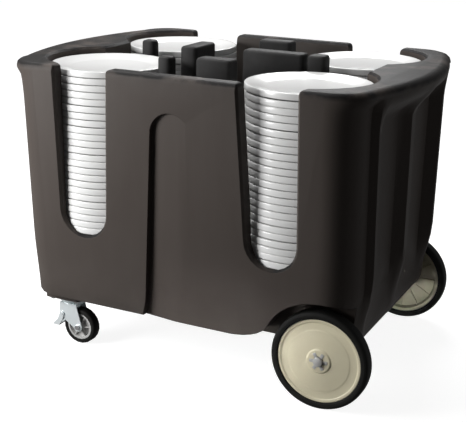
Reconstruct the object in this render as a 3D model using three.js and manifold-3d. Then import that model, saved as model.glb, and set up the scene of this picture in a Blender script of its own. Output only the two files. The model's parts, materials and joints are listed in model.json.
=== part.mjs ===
// A plate dispenser cart: one moulded tub with four wells, seven lift-out dividers,
// four stacks of plates, two big fixed wheels on an axle and two braked swivel casters.
// Millimetres. The origin is on the floor under the middle of the tub, +Z is up,
// +X points to the big-wheel end and +Y to the right-hand side.

import * as THREE from 'three'
import { mergeVertices } from 'three/addons/utils/BufferGeometryUtils.js'
import Module from 'manifold-3d'

const wasm = await Module()
wasm.setup()

// ---------------------------------------------------------------- driving dimensions

const GAP = 0.3

// tub, outside
const RIM_Z = 793
const BOTTOM_Z = 150
const TUB_WIDTH = 775
const END_REACH = 540
const END_BOW = 47
const CORNER_RADIUS = 96.5
const SIDE_DRAFT = THREE.MathUtils.degToRad(3.1)
const RIM_FILLET_HEIGHT = 18
const RIM_FILLET_SIDE = 12
const RIM_FILLET_END = 24
const BOTTOM_FILLET = 7

// ends: two upright scoops between three ridges, below the bowed rim
const SCOOP_DEPTH = 78
const MIDDLE_RIDGE_DEPTH = 51
const CORNER_RIDGE_STEP = 17
const SCOOPED_BOW = 3
const RIDGE_TOP = 14
const RIDGE_FLANK = 30
const RIM_BAND = 22
const SCOOP_HEIGHT = 85
const COLUMN_FOOT_HEIGHT = 180
const REAR_FOOT_SHARE = 0.06
const FRONT_FOOT_SHARE = 0.5

// tub, inside
const DECK_Z = 345
const DECK_THICKNESS = 30
const SKIRT = 30
const RIB = 24
const RIB_X = 140
const WALL = 38.5
const WEB_TIP_SET_IN = 102
const INNER_EDGE = 6

// plates and their wells
const PLATE_FROM_SIDE = 33.5
const PLATE_FROM_END = 100
const PLATE_FROM_MIDDLE = 38
const PLATE_PITCH = 18
const PLATE_COUNT = 24
const PLATE_EDGE = 5
const WELL_CLEARANCE = 2.5
const WELL_FLARE = 4.5

// slots in the long sides
const SLOT_OFFSET = 16
const SLOT_WIDTH = 132
const SLOT_LEAN = 20
const SLOT_RIM_RADIUS = 13
const SLOT_EDGE = 6

// recess in the middle of each long side: an arched edge, deep towards the casters and
// running out towards the big wheels
const ARCH_DEPTH = 18
const ARCH_RUN_OUT_X = 45
const ARCH_TOP_Z = 706
const ARCH_HALF_TOP = 60
const ARCH_HALF_FOOT = 89
const ARCH_FLARE_Z = 212
const ARCH_FLARE = 36
const ARCH_TAPER = 4

// dividers
const DIVIDER_TOP_Z = 812
const DIVIDER_THICKNESS = 49
const DIVIDER_WIDTH = 120
const DIVIDER_SIDE_SHARE = 0.4
const DIVIDER_LONG_SHARE = 0.7
const DIVIDER_POST = 38
const DIVIDER_DRAFT = 3
const DIVIDER_CORNER = 11
const DIVIDER_CROWN = 8
const DIVIDER_SPACING = 5
const DIVIDER_CENTRE_FRONT_OFFSET = 155
const DIVIDER_SIDE_OFFSET_SHARE = 0.105
const DIVIDER_SIDE_SET_IN = 9
const DIVIDER_END_FRONT_OFFSET = 4
const DIVIDER_END_REAR_OFFSET = 56
const DIVIDER_CORNER_OFFSET = 184
const DIVIDER_CORNER_SET_OUT = 26
const PEG_RADIUS = 12
const PEG_LENGTH = 28
const PEG_SPACING = 62
const PEG_CLEARANCE = 0.8

// big wheels and their axle
const WHEEL_RADIUS = 127
const WHEEL_FROM_END = 146.4
const WHEEL_FACE_SET_IN = 38.5
const TYRE_WIDTH = 38
const TYRE_THICKNESS = 18
const WHEEL_ARCH_CLEARANCE = 25
const WHEEL_ARCH_MEETS = 156
const WHEEL_ARCH_LEAD = 120
const WHEEL_ARCH_BEND = 15
const WHEEL_WELL_DEPTH = 57
const AXLE_RADIUS = 9.5
const COLLAR_RADIUS = 15
const COLLAR_LENGTH = 7
const BUSH_WALL = 3.2
const BUSH_FLANGE = 3
const BUSH_FLANGE_THICKNESS = 2
const WASHER_THICKNESS = 2
const WASHER_RADIUS = 18
const HUB_DEPTH = 41
const CAP_RADIUS = 12
const AXLE_OVERHANG = 4

// axle hangers
const HANGER_SET_IN = 57
const HANGER_DROP = 23
const AXLE_CHANNEL = 6
const HANGER_PLATE = [92, 40, 4]
const HANGER_WEB = 6
const HANGER_EYE_RADIUS = 18
const HANGER_BOLT_SPACING = 68
const HANGER_PAD = [104, 62]

// swivel casters
const CASTER_FROM_END = 170
const CASTER_FROM_SIDE = 102.5
const CASTER_HEIGHT = 135
const CASTER_TRAIL = 34
const CASTER_WHEEL_RADIUS = 50
const CASTER_TREAD_WIDTH = 30
const CASTER_TREAD_THICKNESS = 11.7
const CASTER_PLATE = [100, 80, 3]
const CASTER_BOLT_SPACING = [76, 56]
const CASTER_PAD = [110, 92]
const RACE_RADIUS = 31
const RACE_HEIGHT = 13.4
const KINGPIN_RADIUS = 6
const KINGPIN_HEAD = [10, 6.5]
const FORK_SHEET = 2.5
const FORK_TOP_SHEET = 3
const FORK_HALF_WIDTH = 22
const FORK_BOSS = [22, 3.5]
const CASTER_AXLE_RADIUS = 4
const PEDAL_PIVOT = [-16, 32]
const PEDAL_SHEET = 2.5
const PEDAL_PIN_RADIUS = 2.6

// fasteners
const BOLT_RADIUS = 4
const BOLT_HEAD_RADIUS = 7.5
const BOLT_HEAD_HEIGHT = 5
const BOLT_LENGTH = 26
const HOLE_CLEARANCE = 0.5

// facets round a turned piece
const WELL_FACETS = 32
const PLATE_FACETS = 16
const WHEEL_FACETS = 32
const CASTER_FACETS = 20
const PIN_FACETS = 16
const BOLT_FACETS = 8

// places that follow from the sizes
const SCOOP_X = END_REACH - SCOOP_DEPTH
const MIDDLE_RIDGE_X = END_REACH - MIDDLE_RIDGE_DEPTH
const PLATE_RADIUS = (TUB_WIDTH / 2 - PLATE_FROM_SIDE - PLATE_FROM_MIDDLE) / 2
const STACK_X = END_REACH - PLATE_FROM_END - PLATE_RADIUS
const STACK_Y = PLATE_FROM_MIDDLE + PLATE_RADIUS
const BETWEEN_STACKS = 2 * (STACK_X - PLATE_RADIUS)
const WEB_TIP_X = STACK_X + WEB_TIP_SET_IN
const SLOT_X = STACK_X - SLOT_OFFSET
const WHEEL_X = END_REACH - WHEEL_FROM_END
const WHEEL_FACE_Y = TUB_WIDTH / 2 - WHEEL_FACE_SET_IN
const WHEEL_WELL_Y = WHEEL_FACE_Y - WHEEL_WELL_DEPTH
const HANGER_Y = WHEEL_WELL_Y - HANGER_SET_IN
const HANGER_PAD_Z = WHEEL_RADIUS + HANGER_DROP
const CASTER_X = CASTER_FROM_END - END_REACH
const CASTER_Y = TUB_WIDTH / 2 - CASTER_FROM_SIDE

// ---------------------------------------------------------------- materials

function standard(color, roughness, metalness) {
  return new THREE.MeshStandardMaterial({ color, roughness, metalness })
}

const polyethylene = standard(0x1c1715, 0.62, 0)
const dividerPlastic = standard(0x17151a, 0.58, 0)
const porcelain = standard(0xefeeec, 0.22, 0)
const creamPlastic = standard(0xc9c2a2, 0.5, 0)
const blackRubber = standard(0x121212, 0.85, 0)
const greyPlastic = standard(0x8d9094, 0.55, 0)
const zincSteel = standard(0xb9c3c8, 0.38, 1)
const boltSteel = standard(0x9a9da0, 0.35, 1)
const bearingPlastic = standard(0x3a3a3c, 0.5, 0)

// ---------------------------------------------------------------- geometry helpers

function signedVolume(geometry) {
  const at = geometry.getAttribute('position')
  const index = geometry.getIndex()
  const a = new THREE.Vector3()
  const b = new THREE.Vector3()
  const c = new THREE.Vector3()
  let sum = 0
  for (let i = 0; i < index.count; i += 3) {
    a.fromBufferAttribute(at, index.getX(i))
    b.fromBufferAttribute(at, index.getX(i + 1))
    c.fromBufferAttribute(at, index.getX(i + 2))
    sum += a.dot(b.cross(c)) / 6
  }
  return sum
}

// Shares the vertices, drops faces with no area at a pole and turns the faces outward.
function closed(geometry) {
  geometry.deleteAttribute('normal')
  geometry.deleteAttribute('uv')
  const merged = mergeVertices(geometry, 1e-3)
  const index = Array.from(merged.getIndex().array)
  const kept = []
  for (let i = 0; i < index.length; i += 3) {
    const [a, b, c] = index.slice(i, i + 3)
    if (a !== b && b !== c && c !== a) kept.push(a, b, c)
  }
  merged.setIndex(kept)
  if (signedVolume(merged) < 0) {
    merged.setIndex(kept.reverse())
  }
  return merged
}

function toSolid(geometry) {
  const vertProperties = Float32Array.from(geometry.getAttribute('position').array)
  const triVerts = Uint32Array.from(geometry.getIndex().array)
  return new wasm.Manifold(new wasm.Mesh({ numProp: 3, vertProperties, triVerts }))
}

function fromSolid(solid) {
  const mesh = solid.getMesh()
  const geometry = new THREE.BufferGeometry()
  geometry.setAttribute('position', new THREE.BufferAttribute(new Float32Array(mesh.vertProperties), 3))
  geometry.setIndex(Array.from(mesh.triVerts))
  return geometry
}

function joined(geometries) {
  return geometries.map(toSolid).reduce((all, next) => all.add(next))
}

function cut(body, cutters) {
  return cutters.map(toSolid).reduce((left, next) => left.subtract(next), body)
}

// A solid through rings of [x, y, z] points, all with the same number of points.
// flat() gives a point's place in the plane that the two end faces are seen in.
function loft(rings, flat) {
  const count = rings[0].length
  const index = []
  for (let ring = 0; ring < rings.length - 1; ring += 1) {
    for (let i = 0; i < count; i += 1) {
      const a = ring * count + i
      const b = ring * count + ((i + 1) % count)
      index.push(a, b, b + count, a, b + count, a + count)
    }
  }
  const ends = [[rings[0], 0, -1], [rings[rings.length - 1], (rings.length - 1) * count, 1]]
  for (const [ring, offset, facing] of ends) {
    const contour = ring.map((point) => new THREE.Vector2(...flat(point)))
    const around = Math.sign(THREE.ShapeUtils.area(contour)) * facing
    for (const face of THREE.ShapeUtils.triangulateShape(contour, [])) {
      const turn = THREE.ShapeUtils.area(face.map((corner) => contour[corner])) * around
      const corners = turn > 0 ? face : [...face].reverse()
      index.push(...corners.map((corner) => corner + offset))
    }
  }
  const geometry = new THREE.BufferGeometry()
  geometry.setAttribute('position', new THREE.Float32BufferAttribute(rings.flat(2), 3))
  geometry.setIndex(index)
  return closed(geometry)
}

const seenFromAbove = ([x, y]) => [x, y]
const seenFromTheSide = ([x, , z]) => [x, z]

// Turned about Z from [radius, z] points, or about Y from [radius, y] points.
function turnedZ(points, facets) {
  const profile = points.map(([radius, z]) => new THREE.Vector2(radius, z))
  return closed(new THREE.LatheGeometry(profile, facets).rotateX(Math.PI / 2))
}

function turnedY(points, facets) {
  const profile = points.map(([radius, y]) => new THREE.Vector2(radius, y))
  return closed(new THREE.LatheGeometry(profile, facets).rotateY(Math.PI / facets))
}

function ringProfile(points) {
  return [...points, points[0]]
}

function roundedRectangle(width, depth, radius) {
  const x = width / 2 - radius
  const y = depth / 2 - radius
  const shape = new THREE.Shape()
  shape.absarc(x, y, radius, 0, Math.PI / 2)
  shape.absarc(-x, y, radius, Math.PI / 2, Math.PI)
  shape.absarc(-x, -y, radius, Math.PI, Math.PI * 1.5)
  shape.absarc(x, -y, radius, Math.PI * 1.5, Math.PI * 2)
  return shape
}

function extrudedZ(shape, low, high) {
  const options = { depth: high - low, bevelEnabled: false, curveSegments: 3 }
  return closed(new THREE.ExtrudeGeometry(shape, options).translate(0, 0, low))
}

// A shape drawn in X and Z, made thick along Y.
function extrudedY(shape, low, high) {
  const options = { depth: high - low, bevelEnabled: false, curveSegments: 5 }
  const geometry = new THREE.ExtrudeGeometry(shape, options).rotateX(Math.PI / 2)
  return closed(geometry.translate(0, high, 0))
}

function block(width, depth, low, high, x, y, radius) {
  return extrudedZ(roundedRectangle(width, depth, radius), low, high).translate(x, y, 0)
}

// The radius at the corners of a ring of facets that must clear a round of this radius.
const onFacets = (radius, facets) => radius / Math.cos(Math.PI / facets)

function pinZ(radius, low, high, x, y, facets = BOLT_FACETS) {
  return turnedZ([[0, low], [radius, low], [radius, high], [0, high]], facets).translate(x, y, 0)
}

function pinY(radius, low, high, x, z, facets = BOLT_FACETS) {
  return turnedY([[0, low], [radius, low], [radius, high], [0, high]], facets).translate(x, 0, z)
}

function polygon(points) {
  return new THREE.Shape(points.map(([x, y]) => new THREE.Vector2(x, y)))
}

// Points of an arc in a plane, from one angle to another in degrees.
function arc(x, y, radiusX, radiusY, from, to, steps) {
  const points = []
  for (let step = 0; step <= steps; step += 1) {
    const angle = THREE.MathUtils.degToRad(from + ((to - from) * step) / steps)
    points.push([x + radiusX * Math.cos(angle), y + radiusY * Math.sin(angle)])
  }
  return points
}

function quadraticCurve(start, control, end, steps) {
  const [a, b, c] = [start, control, end].map(([x, y]) => new THREE.Vector2(x, y))
  return new THREE.QuadraticBezierCurve(a, b, c).getPoints(steps).map((p) => [p.x, p.y])
}

const mirrorX = (points) => points.map(([x, ...rest]) => [-x, ...rest])

// ---------------------------------------------------------------- tub, outside

const smooth = (t) => THREE.MathUtils.smoothstep(t, 0, 1)
const sideInset = (z) => (RIM_Z - z) * Math.tan(SIDE_DRAFT)
const sideY = (z) => TUB_WIDTH / 2 - sideInset(z)
const cornerY = (z) => sideY(z) - CORNER_RADIUS

// Where the ridges and the scoops of one end lie across it, from the middle outward.
const cornerRidgeY = cornerY(RIM_Z) - RIDGE_TOP
const scoopInner = RIDGE_TOP + RIDGE_FLANK
const scoopOuter = cornerRidgeY - RIDGE_TOP - RIDGE_FLANK
const scoopMiddle = (scoopInner + scoopOuter) / 2
const endStations = [
  0,
  RIDGE_TOP,
  RIDGE_TOP + RIDGE_FLANK / 2,
  scoopInner,
  (scoopInner + scoopMiddle) / 2,
  scoopMiddle,
  (scoopMiddle + scoopOuter) / 2,
  scoopOuter,
  scoopOuter + RIDGE_FLANK / 2,
  cornerRidgeY - RIDGE_TOP,
  cornerRidgeY,
]

// How much of a column is left at a given height: less towards its foot.
const columnShare = (z, footShare) => {
  return footShare + (1 - footShare) * smooth((z - BOTTOM_Z) / COLUMN_FOOT_HEIGHT)
}

// How far out an end reaches at a given place across it and height.
function endX(away, z, footShare) {
  const across = (away / cornerY(RIM_Z)) ** 2
  const bowed = END_REACH - END_BOW * across
  const middleFlank = 1 - smooth((away - RIDGE_TOP) / RIDGE_FLANK)
  const cornerFlank = smooth((away - scoopOuter) / RIDGE_FLANK)
  const cornerRidgeX = END_REACH - END_BOW
  const inMiddle = SCOOP_X + (MIDDLE_RIDGE_X - SCOOP_X) * middleFlank
  const scooped = inMiddle + (cornerRidgeX - SCOOP_X) * cornerFlank - SCOOPED_BOW * across
  const depth = smooth((RIM_Z - RIM_BAND - z) / SCOOP_HEIGHT)
  const upright = bowed + (scooped - bowed) * depth
  return SCOOP_X + (upright - SCOOP_X) * columnShare(z, footShare)
}

// One level of the tub's outline, seen from above, counterclockwise.
function tubRing(z, insetEnd, insetSide) {
  const turns = 6
  const y = cornerY(z)
  const drawnIn = y / cornerY(RIM_Z)
  const belowRim = smooth((RIM_Z - RIM_BAND - z) / RIM_BAND)
  const radiusY = CORNER_RADIUS - insetSide
  const end = (footShare) => {
    const outward = endStations.map((away) => {
      return [endX(away, z, footShare) - insetEnd, away * drawnIn]
    })
    const inward = outward.slice(1).reverse().map(([x, place]) => [x, -place])
    const step = CORNER_RIDGE_STEP * belowRim * columnShare(z, footShare)
    const radiusX = CORNER_RADIUS - insetEnd - step
    const corner = endX(cornerY(RIM_Z), z, footShare) - CORNER_RADIUS
    const round = arc(corner, y, radiusX, radiusY, 0, 90, turns)
    const start = arc(corner, -y, radiusX, radiusY, 270, 360, turns)
    return [...start, ...inward, ...outward, ...round]
  }
  const rear = end(REAR_FOOT_SHARE)
  const front = end(FRONT_FOOT_SHARE).map(([x, place]) => [-x, -place])
  return [...rear, ...front].map(([x, place]) => [x, place, z])
}

function tubOutside() {
  const rings = []
  for (const [cosine, sine] of arc(0, 0, 1, 1, 0, 90, 2).slice(0, -1)) {
    const inset = BOTTOM_FILLET * (1 - sine)
    rings.push(tubRing(BOTTOM_Z + BOTTOM_FILLET * (1 - cosine), inset, inset))
  }
  const low = BOTTOM_Z + BOTTOM_FILLET
  const footTop = BOTTOM_Z + COLUMN_FOOT_HEIGHT
  const scoopTop = RIM_Z - RIM_BAND
  const scoopLow = scoopTop - SCOOP_HEIGHT
  for (const share of [0, 0.2, 0.4, 0.6, 0.8, 1]) {
    rings.push(tubRing(low + (footTop - low) * share, 0, 0))
  }
  for (const share of [0, 0.2, 0.4, 0.6, 0.8, 1]) {
    rings.push(tubRing(scoopLow + (scoopTop - scoopLow) * share, 0, 0))
  }
  for (const [cosine, sine] of arc(0, 0, 1, 1, 0, 90, 3)) {
    const z = RIM_Z - RIM_FILLET_HEIGHT * (1 - sine)
    rings.push(tubRing(z, RIM_FILLET_END * (1 - cosine), RIM_FILLET_SIDE * (1 - cosine)))
  }
  return loft(rings, seenFromAbove)
}

// ---------------------------------------------------------------- tub, inside

const ABOVE_RIM = RIM_Z + 20
const BELOW_TUB = CASTER_HEIGHT - 40
const BESIDE_TUB = 30
const DECK_UNDERSIDE = DECK_Z - DECK_THICKNESS
const wellRadius = PLATE_RADIUS + WELL_CLEARANCE

function well(x, y) {
  const rim = wellRadius + WELL_FLARE
  const profile = [
    [0, DECK_Z],
    [wellRadius, DECK_Z],
    [rim, RIM_Z - INNER_EDGE],
    [rim + INNER_EDGE, RIM_Z],
    [rim + INNER_EDGE, ABOVE_RIM],
    [0, ABOVE_RIM],
  ]
  return turnedZ(profile, WELL_FACETS).translate(x, y, 0)
}

// The open middle of the tub, whose corners end inside the wells.
function basin() {
  const innerY = (z) => sideY(z) - WALL
  const ring = (z, grow) => {
    const tip = WEB_TIP_X - sideInset(z) / 2 + grow
    const half = STACK_Y / 2
    const side = STACK_X - SLOT_WIDTH / 4
    const y = innerY(z) + grow
    const right = [[tip, -half], [tip, half], [side, y], [-side, y]]
    const outline = [...right, [-tip, half], [-tip, -half], [-side, -y], [side, -y]]
    return outline.map(([a, b]) => [a, b, z])
  }
  const rings = [
    ring(DECK_Z, 0),
    ring(RIM_Z - INNER_EDGE, 0),
    ring(RIM_Z, INNER_EDGE),
    ring(ABOVE_RIM, INNER_EDGE),
  ]
  return loft(rings, seenFromAbove)
}

// A slot's outline in X and Z: a leaning inner edge, a round bottom at deck height
// and an upright outer edge, with both corners rounded where they meet the rim.
function slotOutline(grow) {
  const half = SLOT_WIDTH / 2
  const centreZ = DECK_Z + half
  const inner = SLOT_X - half
  const outer = SLOT_X + half
  const rimInner = inner - SLOT_LEAN
  const roundZ = RIM_Z - SLOT_RIM_RADIUS
  const rimRound = SLOT_RIM_RADIUS - grow
  const left = arc(rimInner - SLOT_RIM_RADIUS, roundZ, rimRound, SLOT_RIM_RADIUS, 90, 0, 3)
  const right = arc(outer + SLOT_RIM_RADIUS, roundZ, rimRound, SLOT_RIM_RADIUS, 180, 90, 3)
  const bottom = arc(SLOT_X, centreZ, half + grow, half + grow, 180, 360, 12)
  const topLeft = [left[0][0], ABOVE_RIM]
  const topRight = [right[right.length - 1][0], ABOVE_RIM]
  return [topLeft, ...left, ...bottom, ...right, topRight]
}

// Cuts through one long side, with a bevelled outer edge that follows the side's draft.
function slot(signX, signY) {
  const straight = slotOutline(0)
  const bevelled = slotOutline(SLOT_EDGE)
  const insideY = STACK_Y + wellRadius * 0.62
  const place = ([x, z], y) => [x * signX, y * signY, z]
  const inside = straight.map((point) => place(point, insideY))
  const edge = straight.map((point) => place(point, sideY(point[1]) - SLOT_EDGE))
  const outside = bevelled.map((point) => place(point, sideY(point[1]) + 0.5))
  const beyond = bevelled.map((point) => place(point, sideY(point[1]) + BESIDE_TUB))
  return loft([inside, edge, outside, beyond], seenFromTheSide)
}

function archOutline(inset) {
  const top = ARCH_HALF_TOP - inset
  const springZ = ARCH_TOP_Z - ARCH_HALF_TOP
  const footEnd = [ARCH_HALF_FOOT + ARCH_FLARE - inset, BELOW_TUB]
  const footStart = [ARCH_HALF_FOOT - inset, ARCH_FLARE_Z]
  const foot = quadraticCurve(footEnd, [ARCH_HALF_FOOT - inset, BOTTOM_Z + 20], footStart, 4)
  const right = [...foot, ...arc(0, springZ, top, top, 0, 90, 8)]
  const left = mirrorX(right.slice(0, -1)).reverse()
  return [...right, ...left]
}

function archRecess(signY) {
  const depth = (x) => (ARCH_DEPTH * (ARCH_RUN_OUT_X - x)) / (ARCH_RUN_OUT_X + ARCH_HALF_FOOT)
  const floor = archOutline(ARCH_TAPER).map(([x, z]) => [x, (sideY(z) - depth(x)) * signY, z])
  const beyond = archOutline(0).map(([x, z]) => [x, (sideY(z) + BESIDE_TUB) * signY, z])
  return loft([floor, beyond], seenFromTheSide)
}

// The arch over a big wheel, whose front corner is rounded into the bottom edge.
function wheelWell(signY) {
  const radius = WHEEL_RADIUS + WHEEL_ARCH_CLEARANCE
  const onArch = arc(WHEEL_X, WHEEL_RADIUS, radius, radius, WHEEL_ARCH_MEETS, 20, 16)
  const bend = [WHEEL_X - radius - WHEEL_ARCH_BEND, BOTTOM_Z]
  const lowest = [bend[0] - WHEEL_ARCH_LEAD, BOTTOM_Z - 0.1]
  const lead = quadraticCurve(lowest, bend, onArch[0], 7)
  const end = END_REACH + BESIDE_TUB
  const outline = [...lead.slice(0, -1), ...onArch, [end, onArch[16][1]], [end, BELOW_TUB]]
  const shape = polygon([...outline, [lowest[0], BELOW_TUB]])
  const beyond = TUB_WIDTH / 2 + BESIDE_TUB
  return signY < 0 ? extrudedY(shape, -beyond, -WHEEL_WELL_Y) : extrudedY(shape, WHEEL_WELL_Y, beyond)
}

// The hollows between the skirt and the ribs, open from below.
function undersidePockets() {
  const ribX = RIB_X - RIB / 2
  const nextX = RIB_X + RIB / 2
  const endWall = SCOOP_X - SKIRT
  const skirtY = sideY(BOTTOM_Z) - SKIRT
  const middleY = skirtY - ARCH_DEPTH
  const wellWallY = WHEEL_WELL_Y - SKIRT / 2
  const spans = [
    { from: -endWall, to: -nextX, y: skirtY, radius: 40 },
    { from: -ribX, to: ribX, y: middleY, radius: 16 },
    { from: nextX, to: endWall, y: wellWallY, radius: 16 },
  ]
  const pockets = []
  for (const { from, to, y, radius } of spans) {
    const depth = y - RIB / 2
    for (const sign of [-1, 1]) {
      const middle = sign * (RIB / 2 + depth / 2)
      pockets.push(block(to - from, depth, BELOW_TUB, DECK_UNDERSIDE, (from + to) / 2, middle, radius))
    }
  }
  return pockets
}

// ---------------------------------------------------------------- dividers

const dividerSideY = STACK_Y - DIVIDER_SIDE_SET_IN
const dividerSideX = DIVIDER_SIDE_OFFSET_SHARE * BETWEEN_STACKS
const dividerSideSize = [DIVIDER_SIDE_SHARE * BETWEEN_STACKS, DIVIDER_THICKNESS]
const dividerEndRearX = STACK_X - DIVIDER_END_REAR_OFFSET
const dividerLong = DIVIDER_LONG_SHARE * BETWEEN_STACKS
const dividerCentreRearX =
  dividerEndRearX - DIVIDER_THICKNESS / 2 - 2 * DIVIDER_DRAFT - DIVIDER_SPACING - dividerLong / 2

// Where each divider stands, and its size along X and Y at the top.
const dividers = [
  {
    name: 'divider_centre_front',
    place: [DIVIDER_CENTRE_FRONT_OFFSET - STACK_X, 0],
    size: [DIVIDER_THICKNESS, DIVIDER_WIDTH],
  },
  {
    name: 'divider_centre_rear',
    place: [dividerCentreRearX, 0],
    size: [dividerLong, DIVIDER_THICKNESS],
  },
  {
    name: 'divider_side_left',
    place: [dividerSideX, -dividerSideY],
    size: dividerSideSize,
  },
  {
    name: 'divider_side_right',
    place: [dividerSideX, dividerSideY],
    size: dividerSideSize,
  },
  {
    name: 'divider_end_front',
    place: [DIVIDER_END_FRONT_OFFSET - STACK_X, 0],
    size: [DIVIDER_POST, DIVIDER_POST],
  },
  {
    name: 'divider_end_rear',
    place: [dividerEndRearX, 0],
    size: [DIVIDER_THICKNESS, DIVIDER_THICKNESS],
  },
  {
    name: 'divider_corner_left',
    place: [DIVIDER_CORNER_OFFSET - STACK_X, -STACK_Y - DIVIDER_CORNER_SET_OUT],
    size: [DIVIDER_POST, DIVIDER_POST],
  },
]

// Two pegs along a wide divider, one under a post.
function pegPlaces({ size }) {
  const [width, depth] = size
  if (Math.max(width, depth) < PEG_SPACING + 2 * PEG_RADIUS) return [[0, 0]]
  return [-0.5, 0.5].map((side) => {
    return width > depth ? [side * PEG_SPACING, 0] : [0, side * PEG_SPACING]
  })
}

function divider(spec) {
  const [width, depth] = spec.size
  const foot = DECK_Z + GAP
  const levels = [[foot, DIVIDER_DRAFT]]
  for (const [cosine, sine] of arc(0, 0, 1, 1, 0, 90, 3)) {
    levels.push([DIVIDER_TOP_Z - DIVIDER_CROWN * (1 - sine), -DIVIDER_CROWN * (1 - cosine)])
  }
  const rings = levels.map(([z, grow]) => {
    const corner = DIVIDER_CORNER + Math.min(grow, 0) * 0.8
    const x = width / 2 + grow - corner
    const y = depth / 2 + grow - corner
    const centres = [[x, y], [-x, y], [-x, -y], [x, -y]]
    return centres.flatMap(([cx, cy], turn) => {
      return arc(cx, cy, corner, corner, turn * 90, turn * 90 + 90, 3).map(([a, b]) => [a, b, z])
    })
  })
  const pegs = pegPlaces(spec).map(([x, y]) => {
    const low = foot - PEG_LENGTH
    const profile = [[0, low], [PEG_RADIUS - 2, low], [PEG_RADIUS, low + 3], [PEG_RADIUS, foot + 2], [0, foot + 2]]
    return turnedZ(profile, PIN_FACETS / 2).translate(x, y, 0)
  })
  return fromSolid(joined([loft(rings, seenFromAbove), ...pegs]))
}

function pegSockets() {
  const radius = onFacets(PEG_RADIUS + PEG_CLEARANCE, PIN_FACETS / 2)
  return dividers.flatMap((spec) => pegPlaces(spec).map(([x, y]) => {
    const low = DECK_Z - PEG_LENGTH - 5
    return pinZ(radius, low, DECK_Z + 1, spec.place[0] + x, spec.place[1] + y, PIN_FACETS / 2)
  }))
}

// ---------------------------------------------------------------- the whole tub

const casterBoltPlaces = [[-1, -1], [-1, 1], [1, -1], [1, 1]].map(([x, y]) => [
  (x * CASTER_BOLT_SPACING[0]) / 2,
  (y * CASTER_BOLT_SPACING[1]) / 2,
])
const casterPadZ = CASTER_HEIGHT + GAP
const BOLT_HOLE_DEPTH = BOLT_LENGTH + 4

function boltHole(x, y, z) {
  return pinZ(BOLT_RADIUS + HOLE_CLEARANCE, z - 1, z + BOLT_HOLE_DEPTH, x, y)
}

// Keeps the tub clear of the axle, should the axle lie above the bottom edge.
function axleChannel() {
  const radius = AXLE_RADIUS + AXLE_CHANNEL
  return block(2 * radius, TUB_WIDTH, BELOW_TUB, WHEEL_RADIUS + radius, WHEEL_X, 0, 2)
}

function tub() {
  const hollows = [basin(), ...undersidePockets(), axleChannel()]
  for (const signY of [-1, 1]) {
    hollows.push(archRecess(signY), wheelWell(signY))
    for (const signX of [-1, 1]) {
      hollows.push(well(signX * STACK_X, signY * STACK_Y), slot(signX, signY))
    }
  }
  for (const signY of [-1, 1]) {
    hollows.push(block(...HANGER_PAD, BELOW_TUB, HANGER_PAD_Z, WHEEL_X, signY * HANGER_Y, 8))
  }
  let body = cut(toSolid(tubOutside()), hollows)
  const holes = pegSockets()
  for (const signY of [-1, 1]) {
    const casterY = signY * CASTER_Y
    const hangerY = signY * HANGER_Y
    const [padX, padY] = CASTER_PAD
    const top = DECK_UNDERSIDE + 1
    body = body.add(toSolid(block(padX, padY, casterPadZ, top, CASTER_X, casterY, 12)))
    body = body.add(toSolid(block(...HANGER_PAD, HANGER_PAD_Z, top, WHEEL_X, hangerY, 8)))
    for (const [x, y] of casterBoltPlaces) {
      holes.push(boltHole(CASTER_X + x, casterY + y, casterPadZ))
    }
    for (const side of [-0.5, 0.5]) {
      holes.push(boltHole(WHEEL_X + side * HANGER_BOLT_SPACING, hangerY, HANGER_PAD_Z))
    }
  }
  return fromSolid(cut(body, holes))
}

// ---------------------------------------------------------------- plates

// Rim plates nested in one stack: each rim overhangs the notch above the plate below.
function plateStack() {
  const foot = DECK_Z + GAP
  const notch = PLATE_RADIUS - 8
  const profile = [[0, foot], [notch - 6, foot]]
  for (let plate = 0; plate < PLATE_COUNT; plate += 1) {
    const top = foot + PLATE_PITCH * (plate + 1)
    profile.push([PLATE_RADIUS, top - PLATE_EDGE])
    profile.push([plate < PLATE_COUNT - 1 ? notch : PLATE_RADIUS - 2, top])
  }
  const last = foot + PLATE_PITCH * PLATE_COUNT
  profile.push([PLATE_RADIUS * 0.7, last - PLATE_EDGE])
  profile.push([0, last - PLATE_EDGE - 1])
  return turnedZ(profile, PLATE_FACETS)
}

// ---------------------------------------------------------------- big wheels

const hubInnerY = WHEEL_FACE_Y - 2 - HUB_DEPTH
const bushInnerY = hubInnerY - GAP - BUSH_FLANGE_THICKNESS
const washerInnerY = bushInnerY - GAP - WASHER_THICKNESS
const collarOuterY = washerInnerY - GAP
const bushBore = AXLE_RADIUS + GAP
const hubBore = bushBore + BUSH_WALL + GAP
const tyreSeat = WHEEL_RADIUS - TYRE_THICKNESS

function wheelDisc() {
  const rimInner = WHEEL_FACE_Y - TYRE_WIDTH + 4
  const rimOuter = WHEEL_FACE_Y - 4
  const rim = tyreSeat - GAP
  const hub = hubBore + 13
  return turnedY(ringProfile([
    [hubBore, hubInnerY],
    [hub, hubInnerY],
    [hub + 4, rimOuter - 16],
    [rim - 14, rimOuter - 16],
    [rim - 10, rimInner],
    [rim, rimInner],
    [rim, rimOuter],
    [rim - 7, rimOuter],
    [rim - 10, rimOuter - 3],
    [rim - 27, rimOuter - 3],
    [rim - 30, rimOuter - 1],
    [hub + 4, rimOuter - 1],
    [hub + 1, rimOuter + 2],
    [hubBore, rimOuter + 2],
  ]), WHEEL_FACETS)
}

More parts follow.
